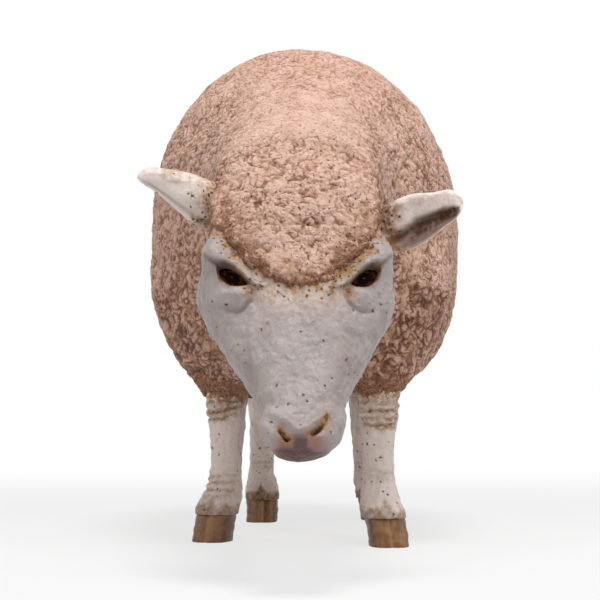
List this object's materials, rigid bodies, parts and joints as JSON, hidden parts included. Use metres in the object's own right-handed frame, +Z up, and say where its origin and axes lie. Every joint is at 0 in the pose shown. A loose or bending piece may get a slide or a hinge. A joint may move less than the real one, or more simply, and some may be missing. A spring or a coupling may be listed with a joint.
{
  "type": "sheep statue",
  "caption": "Life-size painted resin statue of a standing white-faced sheep with a lowered head, stippled fleece, outstretched ears and brown hooves.",
  "frame": {"origin": "on the floor, at the middle of the box round the whole statue", "axes": "+Z up; the sheep faces -Y; +X is the sheep's left; +Y runs back to the rump, along its length"},
  "size_m": [0.445, 1.1249, 0.6731],
  "materials": {
    "fleece_paint": "sculpted fleece relief in cast resin, pinkish beige paint with a brown wash in the hollows",
    "white_paint": "off-white semi-gloss paint on cast resin, ochre stains and brown specks",
    "hoof_paint": "brown paint brushed downwards, satin",
    "eye_gloss": "glossy dark brown with a black pupil"
  },
  "bodies": {
    "root": {"fore_left_upper": "fleece_paint", "fore_right_upper": "fleece_paint", "hind_left_upper": "fleece_paint", "hind_right_upper": "fleece_paint", "tail": "fleece_paint", "trunk": "fleece_paint", "neck": "fleece_paint", "crown": "fleece_paint", "eye_left": "eye_gloss", "eye_right": "eye_gloss", "face": "white_paint", "ear_left": "white_paint", "ear_right": "white_paint", "fore_left_shank": "white_paint", "fore_left_hoof": "hoof_paint", "fore_right_shank": "white_paint", "fore_right_hoof": "hoof_paint", "hind_left_shank": "white_paint", "hind_left_hoof": "hoof_paint", "hind_right_shank": "white_paint", "hind_right_hoof": "hoof_paint"}
  },
  "joints": []
}
